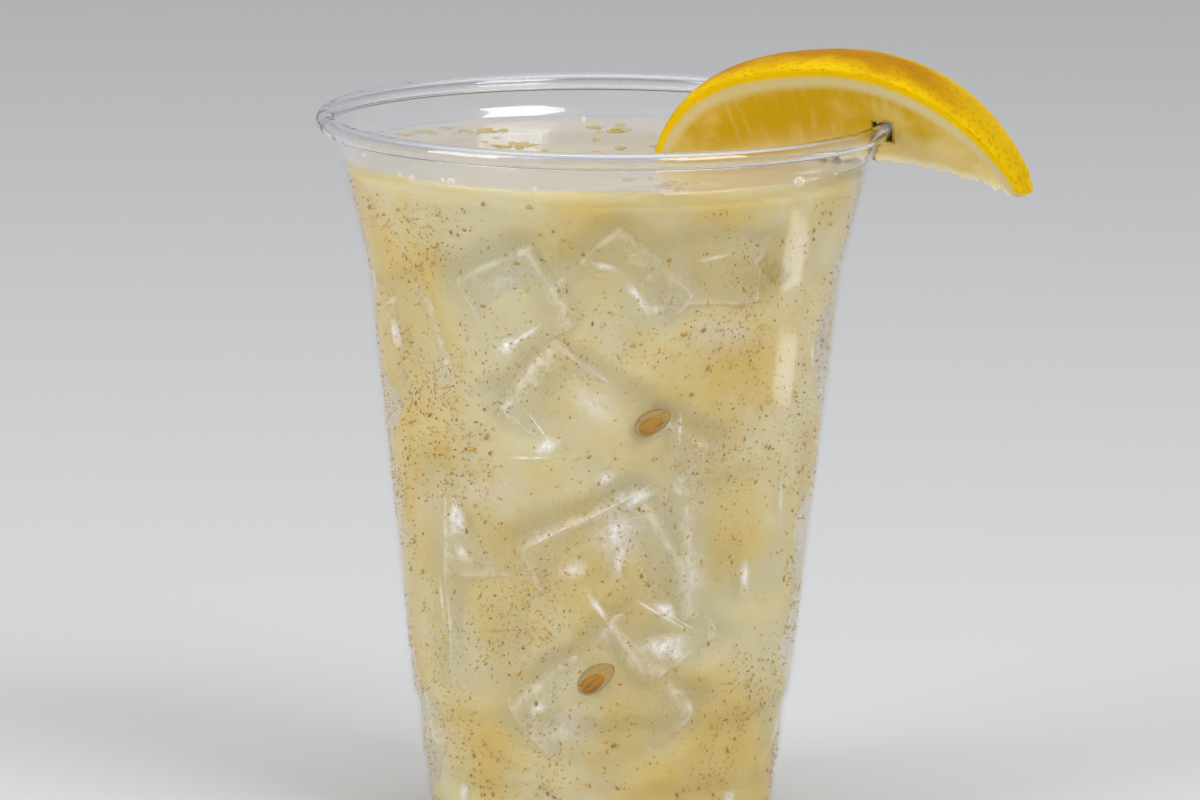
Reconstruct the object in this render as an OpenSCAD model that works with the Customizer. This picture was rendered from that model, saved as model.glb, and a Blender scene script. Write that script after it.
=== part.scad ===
// Clear thin-walled cold cup of lemonade with a lemon wedge slit onto its rim.
// Millimetres, Z up. The origin is the centre of the foot ring, on the table.
// +X points to the side that carries the wedge.

/* [Cup] */
// Height of the cup, to the top of its rolled lip
cup_h = 120; // [96:1:150]
// Outer radius of the wall where it turns into the lip
neck_r = 46.4; // [42:0.1:56]
// Thickness of the formed plastic sheet
wall = 0.5; // [0.3:0.05:0.8]
// Outer diameter of the rolled lip's section
roll_d = 3.1; // [2.2:0.1:4]
// How far round the lip is rolled, in degrees from straight up
roll_turn = 260; // [200:5:270]

/* [Stacking ledge, band and shoulder] */
// How far the ledge's lower edge lies below the top of the lip
ledge_drop = 6.8; // [5.6:0.1:8.4]
// Height of the sloping ledge
ledge_h = 1.3; // [0.8:0.1:1.8]
// How far the wall comes in at the ledge
ledge_w = 0.75; // [0.4:0.05:1]
// How far the neck comes in between the lip and the ledge
neck_in = 0.75; // [0.3:0.05:1]
// How far the band's upper corner lies below the top of the lip
band_drop = 10; // [9:0.1:12]
// How far the band comes in above its upper corner
band_in = 0.45; // [0.2:0.05:0.8]
// How far the shoulder corner lies below the top of the lip
shoulder_drop = 25.3; // [18:0.1:31]
// How far the band slopes in from its upper corner to the shoulder
shoulder_in = 3.85; // [2:0.05:4.8]

/* [Foot] */
// Outer radius of the foot
foot_r = 29.85; // [24:0.05:36]
// Rounding of the foot's lower edge
foot_round = 4; // [2.5:0.1:5]
// Width of the foot ring, from the foot's outside to the ring's inner edge
ring_w = 6.25; // [5.5:0.05:8]
// Width of the slope between the foot ring and the raised bottom panel
panel_slope_w = 2.1; // [1.5:0.1:4]
// How far the bottom panel is raised above the table
panel_rise = 2.4; // [1:0.1:4]
// Height at which the lower step starts
low_step_z = 7.4; // [6:0.1:9]
// How far the lower step comes out
low_step_w = 0.85; // [0.4:0.05:1.2]
// How far the wall flares between the two steps
step_flare = 0.85; // [0.4:0.05:1.2]
// Height at which the upper step starts
high_step_z = 19.2; // [14:0.1:23]
// How far the upper step comes out
high_step_w = 1; // [0.5:0.05:1.4]
// Height of each step's slope
step_h = 2.9; // [1.5:0.1:3.5]

/* [Lemonade] */
// How far the drink's surface lies below the top of the lip
level_drop = 7.5; // [6:0.1:20]
// Clearance between the drink or the wedge and the cup
fit_gap = 0.2; // [0.1:0.05:0.4]

/* [Lemon wedge] */
// Length of the wedge from tip to tip, along its trimmed ridge
wedge_l = 64.8; // [54:0.1:80]
// Radius of the lemon at its middle, from its core to the peel
lemon_r = 24.7; // [20:0.1:30]
// Thickness of the core that is trimmed off the ridge
trim = 5.5; // [4:0.1:7]
// Angle between the two cut faces
wedge_angle = 46; // [36:1:60]
// Height of the blunt tips
tip_h = 4; // [2.5:0.1:5]
// Bend of the wedge over the rim, from tip to tip
droop = 44; // [0:1:55]
// Depth of the slit, from the ridge to the lip's seat
slit_depth = 7.7; // [6:0.1:10]
// Distance of the slit from the middle of the ridge
slit_offset = 7.3; // [0:0.1:12]
// Place of the wedge round the rim, from +X
wedge_turn = -5.5; // [-60:0.5:60]
// Skew of the wedge's length from straight out of the cup
wedge_skew = -23; // [-40:0.5:40]
// Tilt of the wedge's outer end, upward
wedge_tilt = 4.2; // [-6:0.1:8]

/* [Hidden] */

clear_plastic = [0.85, 0.87, 0.90, 0.45];
drink_color = [0.87, 0.82, 0.62];
lemon_color = [0.96, 0.76, 0.10];

corner_steps = 5;      // pieces of a rounded corner
side_share = 0.68;     // share of a side that one corner's rounding may take
roll_steps = 20;       // pieces of the rolled lip
soft_foot = 0.8;       // run of the small corners at the foot
soft_panel = 1.5;      // run of the bottom panel's corner
soft_step = 0.7;       // run of each step's corners
soft_ledge = 0.45;     // run of the ledge's corners
soft_band = 2.2;       // run of the band's upper corner
soft_shoulder = 2.5;   // run of the shoulder corner
stations = 34;         // sections along the wedge
peel_steps = 12;       // pieces of the peel's arc
cap_steps = 5;         // sections that round each tip
cap_l = 2.2;           // length of the rounding at each tip
slit_reach = 30;       // how far down the slit's cutter goes

// Outline of the formed sheet
roll_r = (roll_d - wall) / 2;
ledge_r = neck_r - neck_in - ledge_w;
band_r = ledge_r - band_in;
ring_in_r = foot_r - ring_w;
panel_r = ring_in_r - panel_slope_w;
shoulder_r = band_r - shoulder_in;
low_r = foot_r + low_step_w;
high_r = low_r + step_flare;
wall_low_r = high_r + high_step_w;
lip_r = neck_r - wall + roll_d;
level = cup_h - level_drop;

function unit(v) = v / norm(v);
function curve_point(a, b, c, k) = a * (1 - k) * (1 - k) + b * 2 * k * (1 - k) + c * k * k;

// A corner of a path, rounded over a run that leaves room on the sides for their other corners
function soft_corner(a, b, c, wanted) =
    let (
        run = min(wanted, side_share * norm(a - b), side_share * norm(c - b)),
        from = b + unit(a - b) * run,
        to = b + unit(c - b) * run
    )
    [for (i = [0 : corner_steps]) curve_point(from, b, to, i / corner_steps)];

function flat(p) = [p[0], p[1]];

function rounded(path) = [
    for (i = [0 : len(path) - 1])
        let (last = i == 0 || i == len(path) - 1)
        each last ? [flat(path[i])]
            : soft_corner(flat(path[i - 1]), flat(path[i]), flat(path[i + 1]), path[i][2])
];

function left_of(v) = [-v[1], v[0]];

// A path moved sideways by d: to the left of its direction where d is positive
function beside(path, d) = [
    for (i = [0 : len(path) - 1])
        let (
            before = unit(path[max(i, 1)] - path[max(i, 1) - 1]),
            after = unit(path[min(i, len(path) - 2) + 1] - path[min(i, len(path) - 2)]),
            mid = unit(left_of(before) + left_of(after)),
            stretch = 1 / (mid * left_of(before))
        )
        path[i] + mid * d * stretch
];

half = wall / 2;
wall_corners = [
    [0, panel_rise, 0],
    [panel_r, panel_rise, soft_panel],
    [ring_in_r, half, soft_foot],
    [foot_r - half, half, foot_round],
    [foot_r - half, low_step_z, soft_step],
    [low_r - half, low_step_z + step_h, soft_step],
    [high_r - half, high_step_z, soft_step],
    [wall_low_r - half, high_step_z + step_h, soft_step],
    [shoulder_r - half, cup_h - shoulder_drop, soft_shoulder],
    [band_r - half, cup_h - band_drop, soft_band],
    [ledge_r - half, cup_h - ledge_drop, soft_ledge],
    [ledge_r + ledge_w - half, cup_h - ledge_drop + ledge_h, soft_ledge],
    [neck_r - half, cup_h - half - roll_r, 0]
];
wall_path = rounded(wall_corners);
roll_centre = [neck_r - half + roll_r, cup_h - half - roll_r];
roll_path = [
    for (i = [1 : roll_steps])
        let (turn = 180 - roll_turn * i / roll_steps)
        roll_centre + roll_r * [cos(turn), sin(turn)]
];
sheet_path = concat(wall_path, roll_path);

function reversed(path) = [for (i = [len(path) - 1 : -1 : 0]) path[i]];

// Inside of the cup, a clearance away from its wall, up to a height
function inside_of(gap, top) =
    let (
        line = beside(wall_path, half + gap),
        side = [for (p = line) if (p[0] > panel_r) p],
        top_r = lookup(top, [for (p = side) if (p[1] > foot_round) [p[1], p[0]]])
    )
    concat([for (p = line) if (p[1] < top) [max(p[0], 0), p[1]]], [[top_r, top], [0, top]]);

module cup() {
    color(clear_plastic)
        rotate_extrude($fn = 120)
            polygon(concat(beside(sheet_path, -half), reversed(beside(sheet_path, half))));
}

// Radius of the lemon at t, from -1 at the inner tip to 1 at the outer tip
inner_power = 3.5;     // the inner half is full and its tip blunt
outer_power = 2.1;     // the outer half runs out to a point
half_angle = wedge_angle / 2;
tip_r = (trim + tip_h) / cos(half_angle);
function power(s) = s < 0 ? inner_power : outer_power;
function lemon_radius(t) = tip_r + (lemon_r - tip_r) * (1 - pow(abs(t), power(t)));

// One section of the wedge: the ridge's two edges, then the peel from face to face
function section(r, grow) =
    let (side = grow / cos(half_angle), low = trim - grow)
    concat(
        [[low * tan(half_angle) + side, -grow], [-low * tan(half_angle) - side, -grow]],
        [
            for (i = [0 : peel_steps])
                let (turn = -half_angle + wedge_angle * i / peel_steps, full = r + grow)
                [full * sin(turn) + side * sign(turn) * abs(turn) / half_angle,
                 full * cos(turn) - trim]
        ]
    );

// A section's points, drawn in as the tip's nose rounds off by the share cap, from 0 to 1.
// The top of the nose starts down at the peel's own slope.
tip_middle = 0.42;      // height of the nose's foremost point, as a share of the tip's
function drawn_in(points, s, cap) =
    let (
        wane = cos(90 * cap),
        high = points[2 + peel_steps / 2][1],
        low = points[0][1],
        middle = low + (high - low) * tip_middle,
        slope = power(s) * (lemon_r - tip_r) / (wedge_l / 2),
        top = middle + (high - middle) * wane - slope * cap_l * sin(90 * cap) * (1 - cap),
        bottom = middle - (middle - low) * wane
    )
    cap == 0 ? points
        : [for (p = points) [p[0] * wane, bottom + (top - bottom) * (p[1] - low) / (high - low)]];

bend_r = droop > 0 ? wedge_l / (droop * PI / 180) : 1e6;
function bent(s, p) =
    let (turn = s / bend_r * 180 / PI)
    [(bend_r + p[1]) * sin(turn), p[0], (bend_r + p[1]) * cos(turn) - bend_r];

// Every section as [place along the ridge, lemon radius, share of the tip's rounding]
function ends(side, grow) = [
    for (i = [1 : cap_steps])
        let (cap = i / (cap_steps + 0.25))
        [side * (wedge_l / 2 + (cap_l + grow) * sin(90 * cap)), tip_r, cap]
];
function rows(grow) = concat(
    reversed(ends(-1, grow)),
    [
        for (i = [0 : stations])
            let (t = sin(-90 + 180 * i / stations))
            [t * wedge_l / 2, lemon_radius(t), 0]
    ],
    ends(1, grow)
);

module wedge_solid(grow = 0) {
    all = rows(grow);
    n = peel_steps + 3;
    count = len(all);
    points = [
        for (row = all) each
            [for (p = drawn_in(section(row[1], grow), row[0], row[2])) bent(row[0], p)]
    ];
    skin = [
        for (i = [0 : count - 2]) for (j = [0 : n - 1])
            let (a = i * n + j, b = i * n + (j + 1) % n)
            each [[a, b, b + n], [a, b + n, a + n]]
    ];
    caps = [[for (j = [n - 1 : -1 : 0]) j], [for (j = [0 : n - 1]) (count - 1) * n + j]];
    polyhedron(points = points, faces = concat(skin, caps), convexity = 4);
}

// Puts the wedge on the rim, with the slit's end on top of the lip
module on_rim() {
    rotate([0, 0, wedge_turn])
        translate([neck_r - half, 0, cup_h + fit_gap - slit_depth])
            rotate([0, 0, wedge_skew - wedge_turn])
                rotate([0, -wedge_tilt, 0])
                    translate([-slit_offset, 0, 0])
                        children();
}

module slit_cutter() {
    low = cup_h - slit_reach;
    under_lip = cup_h - roll_d - fit_gap;
    wall_in = [for (p = beside(wall_path, half + fit_gap)) if (p[1] > low) p];
    wall_out = [for (p = beside(wall_path, -half - fit_gap)) if (p[1] > low && p[1] < under_lip) p];
    neck_out = neck_r + fit_gap;
    lip_out = lip_r + fit_gap;
    top = cup_h + fit_gap;
    rotate_extrude($fn = 120)
        polygon(concat(
            reversed(wall_out),
            wall_in,
            [[neck_r - wall - fit_gap, top], [lip_out, top], [lip_out, under_lip], [neck_out, under_lip]]
        ));
}

module lemonade() {
    color(drink_color)
        difference() {
            rotate_extrude($fn = 120) polygon(inside_of(fit_gap, level));
            on_rim() wedge_solid(fit_gap);
        }
}

module lemon_wedge() {
    color(lemon_color)
        difference() {
            on_rim() wedge_solid();
            slit_cutter();
        }
}

cup();
lemonade();
lemon_wedge();
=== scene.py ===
"""Builds the looks of a clear cold cup of iced lemonade with a lemon wedge on its rim."""

import math
import random

import bmesh
import bpy
import numpy as np
from bpy.props import FloatProperty, FloatVectorProperty, IntProperty, PointerProperty
from mathutils import Euler, Matrix, Vector, noise


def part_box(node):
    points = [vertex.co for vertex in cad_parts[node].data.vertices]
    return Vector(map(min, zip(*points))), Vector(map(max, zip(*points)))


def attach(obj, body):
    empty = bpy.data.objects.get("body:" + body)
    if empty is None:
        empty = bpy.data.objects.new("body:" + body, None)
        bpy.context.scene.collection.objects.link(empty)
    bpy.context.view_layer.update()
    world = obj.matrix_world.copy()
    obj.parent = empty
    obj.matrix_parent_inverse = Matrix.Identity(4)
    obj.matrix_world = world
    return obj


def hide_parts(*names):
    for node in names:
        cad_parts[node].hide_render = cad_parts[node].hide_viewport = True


bl_info = {
    "name": "Iced lemonade",
    "version": (1, 0, 0),
    "blender": (4, 5, 0),
    "location": "3D View > Sidebar > Lemonade",
    "description": "Builds a clear cold cup of iced lemonade with a lemon wedge on its rim",
    "category": "Add Mesh",
}

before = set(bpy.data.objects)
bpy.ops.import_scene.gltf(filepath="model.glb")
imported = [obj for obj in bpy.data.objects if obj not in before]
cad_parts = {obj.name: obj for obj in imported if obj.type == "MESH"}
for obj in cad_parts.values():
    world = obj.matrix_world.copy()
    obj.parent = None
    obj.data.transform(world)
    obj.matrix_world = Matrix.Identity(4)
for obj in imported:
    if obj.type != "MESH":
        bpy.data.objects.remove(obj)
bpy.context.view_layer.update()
CUP_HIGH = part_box("cup")[1]
DRINK_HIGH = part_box("lemonade")[1]
MM = 0.001
TO_MM = 1 / MM
BODY = "root"


# ---------------------------------------------------------------- sizes and colours


def length(name, size_mm, about):
    """A size in metres whose default is given in millimetres."""
    return FloatProperty(name=name, default=size_mm * MM, description=about, unit="LENGTH", precision=5)


def angle(name, degrees, about):
    """An angle in radians whose default is given in degrees."""
    return FloatProperty(name=name, default=math.radians(degrees), description=about, unit="ROTATION")


def linear(red, green, blue):
    """A colour given in ordinary 0 to 255 steps, as the linear light that shaders take."""
    return tuple(((c / 255 + 0.055) / 1.055) ** 2.4 if c > 10 else c / 3295 for c in (red, green, blue))


def paint(name, rgb, about):
    """A colour whose default is given in ordinary 0 to 255 steps."""
    return FloatVectorProperty(
        name=name, default=linear(*rgb), description=about, subtype="COLOR", size=3, min=0, max=1
    )


class CupSizes(bpy.types.PropertyGroup):
    """Sizes of the formed plastic cup."""

    neck_r: length("Neck radius", 46.4, "Outer radius where the wall turns into the lip")
    wall: length("Wall", 0.5, "Thickness of the formed sheet")
    roll_d: length("Lip roll", 3.1, "Outer diameter of the rolled lip's section")
    roll_turn: angle("Lip turn", 260, "How far round the lip is rolled")
    ledge_drop: length("Ledge drop", 6.8, "How far the ledge's lower edge lies below the lip's top")
    ledge_h: length("Ledge height", 1.3, "Height of the stacking ledge's slope")
    ledge_w: length("Ledge width", 0.75, "How far the wall comes in at the ledge")
    neck_in: length("Neck draft", 0.75, "How far the neck comes in between the lip and the ledge")
    band_drop: length("Band drop", 10, "How far the band's upper corner lies below the lip's top")
    band_in: length("Band draft", 0.45, "How far the band comes in above its upper corner")
    shoulder_drop: length("Shoulder drop", 25.3, "How far the shoulder lies below the lip's top")
    shoulder_in: length("Shoulder width", 3.85, "How far the band slopes in to the shoulder")
    foot_r: length("Foot radius", 29.85, "Outer radius of the foot")
    foot_round: length("Foot rounding", 4, "Rounding of the foot's lower edge")
    ring_w: length("Foot ring width", 6.25, "From the foot's outside to the ring's inner edge")
    panel_slope_w: length("Panel slope", 2.1, "Width of the slope up to the raised bottom panel")
    panel_rise: length("Panel rise", 2.4, "How far the bottom panel is raised")
    low_step_z: length("Lower step height", 7.4, "Where the lower step starts")
    low_step_w: length("Lower step width", 0.85, "How far the lower step comes out")
    step_flare: length("Step flare", 0.85, "How far the wall flares between the steps")
    high_step_z: length("Upper step height", 19.2, "Where the upper step starts")
    high_step_w: length("Upper step width", 1, "How far the upper step comes out")
    step_h: length("Step slope", 2.9, "Height of each step's slope")
    sides: IntProperty(name="Sides", default=224, description="Facets round the cup", min=32)


class WedgeSizes(bpy.types.PropertyGroup):
    """Sizes and place of the lemon wedge."""

    wedge_l: length("Length", 64.8, "From tip to tip along the trimmed ridge")
    lemon_r: length("Lemon radius", 24.7, "From the lemon's core to its peel, at its middle")
    trim: length("Trim", 5.5, "Thickness of the core trimmed off the ridge")
    wedge_angle: angle("Wedge angle", 46, "Angle between the two cut faces")
    tip_h: length("Tip height", 4, "Height of the blunt tips")
    cap_l: length("Tip rounding", 2.2, "Length of the rounding at each tip")
    droop: angle("Droop", 44, "Bend of the wedge over the rim, from tip to tip")
    slit_depth: length("Slit depth", 7.7, "From the ridge to the slit's end on the lip")
    slit_offset: length("Slit offset", 7.3, "From the middle of the ridge to the slit")
    fit_gap: length("Clearance", 0.2, "Clearance between the wedge and the cup")
    wedge_turn: angle("Place round the rim", -5.5, "Place of the wedge round the rim, from +X")
    wedge_skew: angle("Skew", -23, "Skew of the wedge's length from straight out")
    wedge_tilt: angle("Tilt", 4.2, "Tilt of the outer end, upward")
    rind: length("Coloured rind", 1.7, "Thickness of the rind's coloured layer")
    pith: length("Pith", 2.0, "Thickness of the pale pith under the rind")


class DrinkSizes(bpy.types.PropertyGroup):
    """Sizes of the drink and of what floats in it."""

    meniscus: length("Meniscus", 0.6, "How far the drink climbs the wall")
    haze_depth: length("Haze depth", 0.3, "Depth of the cloudy layer behind the wall")
    core_depth: length("Core depth", 0.7, "Mean depth at which the drink turns opaque")
    core_swell: length("Core swell", 0.15, "How far that depth swells and sinks")
    hollow: length("Hollow depth", 3.6, "How far the opaque depth gives way behind ice")
    specks: IntProperty(name="Specks", default=9000, description="Number of fine specks", min=0)
    seed_l: length("Seed length", 7.4, "Length of a lemon seed")
    bubbles: IntProperty(name="Bubbles", default=34, description="Number of surface bubbles", min=0)


class Colours(bpy.types.PropertyGroup):
    """Colours of the drink, the ice and the lemon."""

    plastic: paint("Plastic", (254, 254, 255), "Tint of the clear plastic")
    # The plastic's pale layer is a painted reflection: it stands for the lights that the neck mirrors.
    painted_reflection: paint("Plastic's veil", (206, 203, 208), "The dull share of the plastic above the drink")
    # Painted shade: this tint greys the lip where its sheet is seen edge on, standing for the dark line the
    # lip reflects.
    lip_edge_shade: paint("Lip's edges", (228, 226, 230), "Tint of the lip where its sheet is seen edge on")
    drink_pale: paint("Pale drink", (216, 207, 164), "The drink where it is thin")
    drink_amber: paint("Amber drink", (218, 194, 114), "The drink where it is thick")
    # The drink behind ice is greyer, as it is seen through ice, and paler as painted light that lifts the
    # shade in the hollows there.
    drink_icy: paint("Icy drink", (204, 202, 174), "The drink behind ice")
    ice: paint("Ice", (232, 227, 204), "The ice's body")
    # This white is the ice's cloud and cracks, and also the painted highlights on ice edges, glints and
    # bubble rims.
    frost_and_highlight: paint("Frost", (255, 254, 250), "The ice's white edges and cracks")
    speck_light: paint("Light specks", (236, 186, 70), "The lightest specks")
    speck_dark: paint("Dark specks", (146, 98, 14), "The darkest specks")
    pulp: paint("Pulp", (182, 152, 40), "Zest and pulp")
    seed: paint("Seed", (172, 118, 0), "The seed's body")
    seed_edge: paint("Seed edge", (92, 52, 2), "The seed's rim and ribs")
    peel: paint("Peel", (204, 167, 0), "The lemon's peel")
    # This darker peel serves the painted shade along the peel's crest and the peel's pores.
    peel_shade_and_pores: paint("Ripe peel", (158, 108, 0), "The peel's riper patches")
    # The cut rind is the peel's own yellow made lighter, as painted light for the cut faces, which get less
    # light.
    rind_cut_lightened: paint("Cut rind", (226, 186, 6), "The rind where it is cut")
    pith: paint("Pith", (206, 190, 138), "The pith under the peel")
    ridge: paint("Ridge", (240, 232, 204), "The white core left on the ridge")
    flesh: paint("Flesh", (196, 156, 20), "The flesh under the pith")
    flesh_pale: paint("Pale flesh", (232, 216, 160), "The flesh near the ridge")
    floor: paint("Floor", (188, 188, 187), "The studio floor and backdrop")


# ---------------------------------------------------------------- shader sums


class Value:
    """A number, colour or vector that varies over a surface. Sums on it add Math nodes."""

    def __init__(self, finish, socket):
        self.finish = finish
        self.socket = socket


def sum_of(operation, swapped):
    """A method that adds a Math node for one sign, with the other value first if swapped."""

    def combine(self, other):
        first, second = (other, self) if swapped else (self, other)
        return self.finish.math(operation, first, second)

    return combine


SUMS = {"add": "ADD", "sub": "SUBTRACT", "mul": "MULTIPLY", "truediv": "DIVIDE", "pow": "POWER"}
for sign, operation in SUMS.items():
    setattr(Value, f"__{sign}__", sum_of(operation, False))
    setattr(Value, f"__r{sign}__", sum_of(operation, True))


class Finish:
    """A material under construction."""

    def __init__(self, name):
        self.material = bpy.data.materials.new(name)
        self.material.use_nodes = True
        self.tree = self.material.node_tree
        self.tree.nodes.clear()

    def node(self, kind, settings=None, values=None, output=0):
        """Adds a node, applies its settings, then feeds its sockets."""
        made = self.tree.nodes.new(kind)
        for key, setting in (settings or {}).items():
            if key == "stops":
                self.set_stops(made.color_ramp, setting)
            else:
                setattr(made, key, setting)
        for key, value in (values or {}).items():
            if isinstance(value, Value):
                self.tree.links.new(value.socket, made.inputs[key])
            else:
                made.inputs[key].default_value = value
        return Value(self, made.outputs[output])

    @staticmethod
    def set_stops(ramp, stops):
        while len(ramp.elements) < len(stops):
            ramp.elements.new(0.5)
        for element, (place, colour) in zip(ramp.elements, stops):
            element.position = place
            element.color = (*colour, 1)

    def math(self, operation, first, second):
        return self.node("ShaderNodeMath", {"operation": operation}, {0: first, 1: second})

    def place(self):
        """The place on the object, in millimetres."""
        coords = self.node("ShaderNodeTexCoord", output="Object")
        return self.node("ShaderNodeVectorMath", {"operation": "SCALE"}, {0: coords, "Scale": TO_MM})

    def stretched(self, place, factors):
        return self.node("ShaderNodeVectorMath", {"operation": "MULTIPLY"}, {0: place, 1: factors})

    def axis(self, place, letter):
        return self.node("ShaderNodeSeparateXYZ", values={0: place}, output=letter)

    def noise(self, place, size, detail=3.0, rough=0.5):
        """Soft noise from 0 to 1 whose lumps are about size millimetres across."""
        return self.node(
            "ShaderNodeTexNoise",
            values={"Vector": place, "Scale": 1 / size, "Detail": detail, "Roughness": rough},
        )

    def cells(self, place, size, feature="F1"):
        """The distance to the nearest cell's middle, or to its border."""
        return self.node(
            "ShaderNodeTexVoronoi", {"feature": feature}, {"Vector": place, "Scale": 1 / size}, "Distance"
        )

    def step(self, value, low, high):
        """A smooth rise from 0 at low to 1 at high."""
        return self.node(
            "ShaderNodeMapRange",
            {"interpolation_type": "SMOOTHSTEP"},
            {"Value": value, "From Min": low, "From Max": high},
        )

    def blend(self, share, first, second):
        """The first colour turning into the second as share goes from 0 to 1."""
        pair = [c if isinstance(c, Value) else (*c, 1) for c in (first, second)]
        return self.node("ShaderNodeMix", {"data_type": "RGBA"}, {0: share, 6: pair[0], 7: pair[1]}, 2)

    def stored(self, name, output="Fac"):
        """A value that the mesh stores under that name."""
        return self.node("ShaderNodeAttribute", {"attribute_name": name}, output=output)

    def bump(self, height, distance_mm, strength=1.0):
        return self.node(
            "ShaderNodeBump", values={"Height": height, "Distance": distance_mm * MM, "Strength": strength}
        )

    def surface(self, **values):
        """A Principled surface; names are the sockets' own with _ for a space."""
        named = {key.replace("_", " "): value for key, value in values.items()}
        if not isinstance(named["Base Color"], Value):
            named["Base Color"] = (*named["Base Color"], 1)
        return self.node("ShaderNodeBsdfPrincipled", values=named)

    def glancing(self, head_on, power=6.0, most=0.6):
        """The mirrored share of a thin clear film, alike from both of its sides."""
        return self.facing() ** power * (most - head_on) + head_on

    def gloss(self, **values):
        return self.node("ShaderNodeBsdfGlossy", values={"Color": (1, 1, 1, 1), **values})

    def facing(self):
        """0 where a surface is seen head on, rising to 1 at its edges."""
        return self.node("ShaderNodeLayerWeight", values={"Blend": 0.5}, output="Facing")

    def clear(self, tint=(1, 1, 1)):
        return self.node("ShaderNodeBsdfTransparent", values={"Color": (*tint, 1)})

    def mixed(self, share, first, second):
        return self.node("ShaderNodeMixShader", values={0: share, 1: first, 2: second})

    def done(self, shader):
        """Wires the shader to the output and returns the material."""
        out = self.tree.nodes.new("ShaderNodeOutputMaterial")
        self.tree.links.new(shader.socket, out.inputs["Surface"])
        return self.material


# ---------------------------------------------------------------- materials


def clear_sheet(colours, name, painted_reflection, head_on):
    """Thin clear plastic: it mirrors more towards its edges, and a pale layer, a painted reflection of the
    lights, can lie over what is behind it.
    """
    f = Finish(name)
    edge = f.glancing(head_on)
    ripple = f.noise(f.stretched(f.place(), (1, 1, 0.25)), 9, 2)
    gloss = f.gloss(Roughness=0.1, Normal=f.bump(ripple, 0.35, 0.5))
    see_through = f.clear(tuple(colours.plastic))
    # Painted reflection: a pale matt layer over the sheet, with a share that varies at random.
    if painted_reflection > 0:
        reflection_layer = f.surface(Base_Color=tuple(colours.painted_reflection), Roughness=0.3)
        share = f.noise(f.place(), 8, 3) * painted_reflection + painted_reflection / 2
        see_through = f.mixed(share, see_through, reflection_layer)
    return f.done(f.mixed(edge, see_through, gloss))


def clear_lip(colours):
    """The rolled lip, thick enough to bend what is seen through it."""
    f = Finish("clear_lip")
    ripple = f.noise(f.place(), 6, 2)
    side = f.facing()
    return f.done(
        f.surface(
            # Painted shade: the lip greys towards where it is seen edge on.
            Base_Color=f.blend(side**2, tuple(colours.plastic), tuple(colours.lip_edge_shade)),
            Roughness=0.03,
            IOR=1.45,
            Transmission_Weight=1.0,
            Normal=f.bump(ripple, 0.2, 0.4),
        )
    )


def cloudiness(f, place):
    """How thick the drink looks, from 0 where it is thin and pale to 1 where it is amber."""
    broad = f.noise(place, 24, 2)
    fine = f.noise(place, 7, 4, 0.6)
    return f.step(broad * 0.7 + fine * 0.3, 0.36, 0.62)


def drink_tone(f, place, colours):
    return f.blend(cloudiness(f, place), tuple(colours.drink_pale), tuple(colours.drink_amber))


def drink_skin(colours):
    """The drink's own surface: nearly clear against the wall, glossy on top."""
    f = Finish("drink_skin")
    place = f.place()
    share = f.step(f.noise(place, 12, 3), 0.3, 0.8) * 0.08 + 0.05
    body = f.surface(Base_Color=drink_tone(f, place, colours), Roughness=0.06, IOR=1.33)
    level = DRINK_HIGH[2] * TO_MM
    top = f.step(f.axis(place, "Z"), level - 0.4, level - 0.1)
    gloss = f.gloss(Roughness=0.2)
    return f.done(f.mixed(f.glancing(0.02, 3, 0.9) * top, f.mixed(share, f.clear(), body), gloss))


def drink_haze(colours):
    """A cloudy layer just behind the wall, thicker where pulp gathers."""
    f = Finish("drink_haze")
    place = f.place()
    share = f.step(f.noise(place, 16, 4, 0.6), 0.25, 0.8) * 0.22 + 0.2
    body = f.surface(Base_Color=drink_tone(f, place, colours), Roughness=0.5, IOR=1.33)
    return f.done(f.mixed(share, f.clear(), body))


def drink_core(colours):
    """The drink's opaque depth."""
    f = Finish("drink_core")
    place = f.place()
    grain = f.noise(place, 1.6, 2)
    # Behind ice the core turns paler and greyer: partly the drink seen through ice, partly painted light that
    # lifts the hollow's shade.
    tone = f.blend(f.stored("hollow") * 0.8, drink_tone(f, place, colours), tuple(colours.drink_icy))
    return f.done(
        f.surface(
            Base_Color=tone,
            Roughness=0.45,
            IOR=1.33,
            Normal=f.bump(grain, 0.3, 0.4),
        )
    )


def ice_body(colours):
    """Wet ice: mostly clear, with white cloud and cracks, and painted highlights along its edges."""
    f = Finish("ice")
    place = f.place()
    patch = f.step(f.noise(place, 6, 3), 0.4, 0.6)
    edge = f.stored("edge")
    # glow and line are painted highlights along the cube's edges.
    glow = f.step(edge, 0.0, 0.9) * patch
    line = f.step(edge, 0.5, 0.9) * f.step(f.noise(place, 3, 2), 0.35, 0.6)
    cloud = f.step(f.noise(place, 7, 5, 0.65), 0.5, 0.72)
    crack = (1 - f.step(f.cells(place, 8, "DISTANCE_TO_EDGE"), 0.0, 0.03)) * patch
    white = f.node("ShaderNodeClamp", values={0: glow * 0.5 + line * 0.22 + cloud * 0.7 + crack * 0.2})
    tone = f.blend(white, tuple(colours.ice), tuple(colours.frost_and_highlight))
    share = f.node("ShaderNodeClamp", values={0: white * 0.6 + 0.2})
    body = f.surface(
        Base_Color=tone, Roughness=0.08, IOR=1.31, Normal=f.bump(f.noise(place, 3, 3), 0.5, 0.5)
    )
    return f.done(f.mixed(share, f.clear(), body))


def glint_body(colours):
    """A flat pocket of air between the ice and the wall, painted white as a glint of light."""
    f = Finish("glint")
    smoke = f.step(f.noise(f.place(), 1.3, 4, 0.65), 0.3, 0.7) * 0.75 + 0.25
    # Painted highlight: the white share is strongest in each patch's middle.
    share = f.step(f.stored("edge"), 0.0, 0.85) * smoke * 0.95
    body = f.surface(Base_Color=tuple(colours.frost_and_highlight), Roughness=0.1, IOR=1.5)
    return f.done(f.mixed(share, f.clear(), body))


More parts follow.
